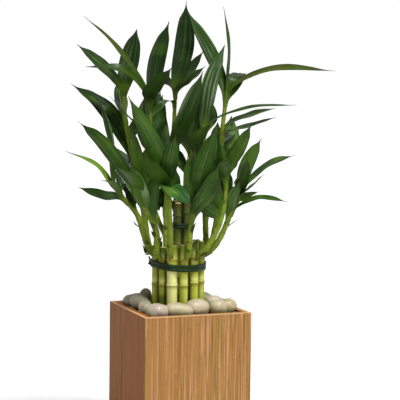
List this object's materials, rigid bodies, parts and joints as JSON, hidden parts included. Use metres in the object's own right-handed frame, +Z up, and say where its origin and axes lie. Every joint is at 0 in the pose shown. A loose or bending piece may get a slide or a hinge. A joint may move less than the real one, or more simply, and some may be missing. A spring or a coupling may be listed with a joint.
{
  "type": "potted lucky bamboo",
  "caption": "Tied bundle of cut lucky bamboo canes in two tiers, with leafy shoots, standing in pebbles in a tall square bamboo planter.",
  "frame": {"origin": "centre of the planter's square underside, which rests on the table", "axes": "+Z up along the planter and the canes, -Y out of the planter's front panel, +X to the right of someone facing that panel"},
  "size_m": [0.2867, 0.2267, 0.5161],
  "materials": {
    "wood": "laminated bamboo strips under a satin lacquer",
    "liner": "dark matt moulded plastic",
    "pebble": "smooth water-worn pebbles, cream, pinkish and olive grey",
    "cane": "smooth green-yellow living cane with pale rings",
    "leaf": "soft waxy gloss on living leaves",
    "tie": "dark green coated twist tie"
  },
  "bodies": {
    "root": {"planter_wall_front": "wood", "planter_wall_right": "wood", "planter_wall_back": "wood", "planter_wall_left": "wood", "planter_floor": "wood", "liner": "liner", "pebble_bed": "pebble", "cane_outer_01": "cane", "cane_outer_02": "cane", "cane_outer_03": "cane", "cane_outer_04": "cane", "cane_outer_05": "cane", "cane_outer_06": "cane", "cane_outer_07": "cane", "cane_outer_08": "cane", "cane_outer_09": "cane", "cane_outer_10": "cane", "cane_outer_11": "cane", "cane_outer_12": "cane", "cane_inner_01": "cane", "cane_inner_02": "cane", "cane_inner_03": "cane", "cane_inner_04": "cane", "shoot_left_low": "leaf", "shoot_left_mid": "leaf", "shoot_left_tall": "leaf", "shoot_left_inner": "leaf", "shoot_front_left": "leaf", "shoot_centre_tall": "leaf", "shoot_front_right": "leaf", "shoot_right_inner": "leaf", "shoot_right_tall": "leaf", "shoot_right_mid": "leaf", "shoot_right_low": "leaf", "shoot_back_left": "leaf", "shoot_back_right": "leaf", "shoot_inner_right": "leaf", "shoot_inner_left": "leaf", "tie_outer": "tie", "tie_inner": "tie"}
  },
  "joints": []
}
